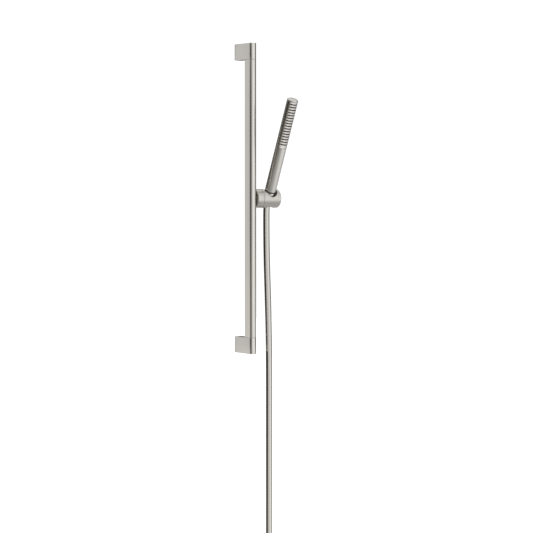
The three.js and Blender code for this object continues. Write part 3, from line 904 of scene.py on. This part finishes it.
def hose_end_place():
    """The hose's far end, with local Z pointing on along the hose."""
    angle = math.radians(COIL["start"] + 360 * COIL["turns"])
    return Matrix.Translation((
        COIL["x"] + COIL["radius"] * math.cos(angle),
        COIL["y"] + COIL["pitch"] * COIL["turns"] + COIL["end_shift"],
        COIL["z"] + COIL["radius"] * math.sin(angle),
    )) @ Matrix.Rotation(-angle, 4, "Y")


def make_tie():
    """A soft strap round the two turns, with eased edges."""
    angle = math.radians(STRAP["at"])
    place = Matrix.Translation((COIL["x"], 0, COIL["z"])) @ Matrix.Rotation(-angle, 4, "Y")
    near = COIL["y"] + COIL["pitch"] * (STRAP["at"] - COIL["start"]) / 360
    far = near + COIL["pitch"]
    reach = HOSE_RADIUS + STRAP["clearance"]
    loop = []
    for start, middle in ((0, far), (math.pi, near)):
        for i in range(24):
            t = start + math.pi * i / 23
            loop.append((COIL["radius"] + reach * math.cos(t), middle + reach * math.sin(t)))
    width, thick = STRAP["half_width"], STRAP["half_thick"]
    flat = width - STRAP["ease"]
    section = [
        (-width, -0.5 * thick), (-flat, -thick), (flat, -thick), (width, -0.5 * thick),
        (width, 0.5 * thick), (flat, thick), (-flat, thick), (-width, 0.5 * thick),
    ]
    verts, faces = [], []
    count = len(loop)
    for i, (x, y) in enumerate(loop):
        before, after = Vector(loop[i - 1]), Vector(loop[(i + 1) % count])
        along = (after - before).normalized()
        out = Vector((along.y, -along.x))
        for across, depth in section:
            verts.append(place @ Vector((x + out.x * depth, y + out.y * depth, across)))
    size = len(section)
    for i in range(count):
        n = (i + 1) % count
        for k in range(size):
            m = (k + 1) % size
            faces.append((i * size + k, i * size + m, n * size + m, n * size + k))
    return make_object("hose_strap", verts, faces, 45)


def make_lower_ferrule():
    """The crimped ferrule on the hose's end, with two pressed grooves and the nut's collar."""
    return turned("lower_ferrule_skin", [
        (4, 0), (7.9, 0), (7.9, 4), (7.5, 5), (7.5, 7), (7.9, 8), (7.9, 10), (7.5, 11), (7.5, 13),
        (7.9, 14), (7.9, 18), (6.4, 18), (6.4, 28), (10.4, 28), (10.4, 29.6), (4, 29.6),
    ], hose_end_place(), 0.5, 64)


def make_lower_nut():
    """The wall-outlet nut with shallow flutes round it."""
    place = hose_end_place()
    r = NUT["radius"]
    nut = turned("lower_nut_skin", [
        (6.8, 21), (10.4, 21), (r, 22.6), (r, 40), (10.8, 40), (10.8, 25.6), (6.8, 25.6),
    ], place, 0.5, 192)
    inverse = place.inverted()
    for vertex in nut.data.vertices:
        local = inverse @ (vertex.co / MM)
        radius = math.hypot(local.x, local.y)
        if radius > r - 0.8 and NUT["flute_start"] < local.z < NUT["flute_end"]:
            wave = math.cos(NUT["flutes"] * math.atan2(local.y, local.x))
            depth = NUT["flute_depth"] * max(0.0, wave) ** 2
            scale = (radius - depth) / radius
            moved = place @ Vector((local.x * scale, local.y * scale, local.z))
            vertex.co = moved * MM
    return nut


# ------------------------------------------------------------ putting the set together

def finish_piece(obj, body, material, slot, *nodes):
    """Gives a piece its material and the body that it moves with, and hides the nodes it stands for.
    """
    obj.data.materials.clear()
    obj.data.materials.append(material)
    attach(obj, body)
    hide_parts(*nodes)


def dress_cad_nodes(nodes, materials):
    """The pieces that keep their CAD meshes, by material."""
    dressed = {
        "plain_steel": [
            "upper_wall_plate", "lower_wall_plate", "upper_grub_screw", "lower_grub_screw",
            "upper_insert_screw", "lower_insert_screw", "slider_core", "t_nut",
            "upper_carriage_screw", "lower_carriage_screw", "brake_spring", "brake_set_screw",
            "pivot_axle", "wave_spring", "pivot_screw", "filter_screen", "check_valve_spring",
        ],
        "rubber": [
            "upper_wall_gasket", "lower_wall_gasket", "inlet_washer", "joint_ring",
            "lower_oring", "upper_oring", "lower_washer",
        ],
        "grey_plastic": ["upper_rail_insert", "lower_rail_insert"],
        "white_plastic": [
            "upper_glide", "lower_glide", "pivot_bush", "pivot_washer", "swivel_bearing",
            "check_valve_body", "flow_limiter", "spray_chassis", "water_tube",
        ],
        "dark_plastic": ["brake_pad", "tilt_friction_disc", "check_valve_poppet"],
        "brass": ["swivel_stem", "inlet_connector"],
        "nut_nickel": ["upper_ferrule"],
    }
    for material, names in dressed.items():
        for name in names:
            mesh = nodes[name].data
            mesh.materials.clear()
            mesh.materials.append(materials[material])


def build_pieces(materials):
    """Every rigid piece except the hose's: its body, material, slot and CAD node."""
    rail, nickel = "rail_assembly", "brushed_nickel"
    pieces = [
        (make_rail(), rail, "rail_nickel", nickel, "rail_profile"),
        (make_bracket("upper_bracket_skin", 1), rail, "rail_nickel", nickel, "upper_bracket"),
        (make_bracket("lower_bracket_skin", -1), rail, "rail_nickel", nickel, "lower_bracket"),
        (make_ring(), "slider", "slider_nickel", nickel, "slider_ring"),
        (make_barrel(), "holder", "slider_nickel", nickel, "holder_barrel"),
        (make_end_cap(), "holder", "slider_nickel", nickel, "barrel_end_cap"),
        (make_liner(), "holder", "dark_plastic", "dark_plastic", "socket_liner"),
        (make_cone_nut(), "handset", "nut_nickel", nickel, "cone_nut"),
        (make_baton(), "handset", "baton_nickel", nickel, "baton_shell"),
        (make_strip(), "handset", "baton_nickel", nickel, "spray_strip"),
        (make_nozzles(), "handset", "rubber", "rubber", "nozzle_mat"),
        (make_cap(), "handset", "baton_nickel", nickel, "top_cap"),
    ]
    for obj, body, material, slot, node in pieces:
        finish_piece(obj, body, materials[material], slot, node)


def build_hose(materials):
    """The hose, its strap, and the ferrule and nut on its end."""
    path = hose_path()
    hose = tube_along("hose_line", path, HOSE_RADIUS, 24)
    hose.data.materials.append(materials["hose_skin"])
    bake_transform(hose)
    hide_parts("hose_tube", "hose_coil")
    strap = make_tie()
    finish_piece(strap, "hose", materials["dark_plastic"], "dark_plastic", "hose_tie")
    ferrule = make_lower_ferrule()
    finish_piece(ferrule, "hose", materials["nut_nickel"], "brushed_nickel", "lower_ferrule")
    nut = make_lower_nut()
    finish_piece(nut, "hose_nut", materials["nut_nickel"], "brushed_nickel", "lower_nut")


# ------------------------------------------------------------ camera, floor and light

def make_camera():
    """The camera, at the place and aim given above."""
    data = bpy.data.cameras.new("camera")
    data.lens = CAMERA_LENS
    data.sensor_width = 36.0
    camera = bpy.data.objects.new("camera", data)
    bpy.context.scene.collection.objects.link(camera)
    camera.location = CAMERA_AT
    aim = Vector(CAMERA_AIM) - Vector(CAMERA_AT)
    camera.rotation_euler = aim.to_track_quat("-Z", "Y").to_euler()
    bpy.context.scene.camera = camera


def make_floor(height):
    """A plain pale floor that the shiny pieces don't reflect."""
    mesh = bpy.data.meshes.new("floor")
    corners = [
        (x * FLOOR_REACH, y * FLOOR_REACH, height) for x, y in ((-1, -1), (1, -1), (1, 1), (-1, 1))
    ]
    mesh.from_pydata(corners, [], [(0, 1, 2, 3)])
    floor = bpy.data.objects.new("floor", mesh)
    bpy.context.scene.collection.objects.link(floor)
    material, tree, shader = node_material("floor_white")
    shader.inputs["Base Color"].default_value = (0.9, 0.9, 0.9, 1)
    shader.inputs["Roughness"].default_value = 0.9
    shader.inputs["Emission Color"].default_value = (1, 1, 1, 1)
    shader.inputs["Emission Strength"].default_value = 0.35
    mesh.materials.append(material)
    floor.visible_glossy = False
    floor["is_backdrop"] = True


def ranged(tree, source, start, end):
    """0 to 1 as source goes from start to end."""
    return range_between(tree, source, 0, 1, start, end)


def blended(tree, share, first, second, blend="MIX"):
    """Two colours mixed. Each is a node's output, a colour, or one grey level."""
    mix = tree.nodes.new("ShaderNodeMix")
    mix.data_type = "RGBA"
    mix.blend_type = blend
    tree.links.new(share, mix.inputs["Factor"])
    for name, value in (("A", first), ("B", second)):
        if isinstance(value, float):
            value = (value, value, value)
        if isinstance(value, tuple):
            mix.inputs[name].default_value = (*value, 1)
        else:
            tree.links.new(value, mix.inputs[name])
    return mix.outputs["Result"]


def negated(tree, source):
    """The source with its sign turned."""
    node = tree.nodes.new("ShaderNodeMath")
    node.operation = "MULTIPLY"
    node.inputs[1].default_value = -1
    tree.links.new(source, node.inputs[0])
    return node.outputs[0]


def studio_ramp(tree, x, y):
    """The studio's stops, laid round the vertical axis."""
    around = tree.nodes.new("ShaderNodeMath")
    around.operation = "ARCTAN2"
    tree.links.new(negated(tree, y), around.inputs[0])
    tree.links.new(negated(tree, x), around.inputs[1])
    ramp = tree.nodes.new("ShaderNodeValToRGB")
    tree.links.new(ranged(tree, around.outputs[0], -math.pi, math.pi), ramp.inputs["Fac"])
    elements = ramp.color_ramp.elements
    while len(elements) < len(STUDIO_STOPS):
        elements.new(0.5)
    for element, (degrees, value) in zip(elements, STUDIO_STOPS):
        element.position = (degrees + 180) / 360
        element.color = (value, value, value, 1)
    return ramp.outputs["Color"]


def make_world():
    """White to the eye, with a studio of light and dark sides that only reflections see."""
    world = bpy.data.worlds.new("studio")
    bpy.context.scene.world = world
    world.use_nodes = True
    world.cycles.sampling_method = "NONE"
    tree = world.node_tree
    tree.nodes.clear()
    coordinates = tree.nodes.new("ShaderNodeTexCoord")
    parts = tree.nodes.new("ShaderNodeSeparateXYZ")
    tree.links.new(coordinates.outputs["Generated"], parts.inputs[0])
    x, y, z = parts.outputs["X"], parts.outputs["Y"], parts.outputs["Z"]

    # Straight up is light, straight down is a dim floor, and a haze lifts the lower right side.
    sides = studio_ramp(tree, x, y)
    with_top = blended(tree, ranged(tree, z, 0.25, 0.75), sides, STUDIO_TOP)
    with_floor = blended(tree, ranged(tree, z, -0.3, -0.7), with_top, STUDIO_FLOOR)
    haze = blended(tree, ranged(tree, x, 0.1, 0.7), HAZE_LEFT, HAZE_RIGHT)
    whole = blended(tree, ranged(tree, z, -0.06, -0.28), with_floor, haze, "LIGHTEN")

    studio = tree.nodes.new("ShaderNodeBackground")
    tree.links.new(whole, studio.inputs["Color"])
    white = add_node(
        tree, "ShaderNodeBackground", Color=(1, 1, 1, 1), Strength=BACKDROP_STRENGTH
    )
    choose = tree.nodes.new("ShaderNodeMixShader")
    rays = tree.nodes.new("ShaderNodeLightPath")
    output = tree.nodes.new("ShaderNodeOutputWorld")
    tree.links.new(rays.outputs["Is Glossy Ray"], choose.inputs["Fac"])
    tree.links.new(white.outputs[0], choose.inputs[1])
    tree.links.new(studio.outputs[0], choose.inputs[2])
    tree.links.new(choose.outputs[0], output.inputs["Surface"])


def add_softbox(name, pieces, centre, heading, height, distance, size, radiance):
    """A soft light that only the named pieces see. Heading is in the studio stops' degrees."""
    data = bpy.data.lights.new(name, "AREA")
    data.shape = "RECTANGLE"
    data.size, data.size_y = size
    data.energy = radiance * math.pi * size[0] * size[1]
    light = bpy.data.objects.new(name, data)
    bpy.context.scene.collection.objects.link(light)
    turn, rise = math.radians(heading), math.radians(height)
    level = math.cos(rise)
    away = Vector((-math.cos(turn) * level, -math.sin(turn) * level, math.sin(rise)))
    light.location = Vector(centre) + away * distance
    light.rotation_euler = away.to_track_quat("Z", "Y").to_euler()
    light.visible_camera = False
    lit = bpy.data.collections.new(name + "_pieces")
    for piece in pieces:
        lit.objects.link(bpy.data.objects[piece])
    light.light_linking.receiver_collection = lit


def make_softboxes():
    """A broad light for each group of shiny pieces. Heading and height are in degrees."""
    rail = ["rail", "upper_bracket_skin", "lower_bracket_skin"]
    handset = ["baton_skin", "spray_strip_skin", "top_cap_skin", "cone_nut_skin"]
    handset_middle = (0.05, -0.1, -0.2)
    add_softbox(
        "rail_light", rail, (0, -0.04, -0.32),
        heading=-42, height=0, distance=1.2, size=(1.7, 3.0), radiance=0.55,
    )
    add_softbox(
        "hose_light", ["hose_line"], (0.0485, -0.045, -0.7),
        heading=36, height=0, distance=1.5, size=(0.8, 3.0), radiance=0.5,
    )
    add_softbox(
        "handset_light", handset, handset_middle,
        heading=122, height=-38, distance=1.2, size=(1.5, 0.9), radiance=0.3,
    )
    add_softbox(
        "strip_light", ["spray_strip_skin"], handset_middle,
        heading=50, height=-36, distance=1.2, size=(1.6, 0.9), radiance=0.42,
    )


def main():
    """Builds the scene."""
    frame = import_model()
    low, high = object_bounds()
    make_camera()
    materials = make_materials()
    dress_cad_nodes(frame["nodes"], materials)
    build_pieces(materials)
    build_hose(materials)
    make_floor(low.z - FLOOR_DROP)
    make_world()
    make_softboxes()
    bpy.context.scene.view_settings.view_transform = "Standard"
    low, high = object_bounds()


main()
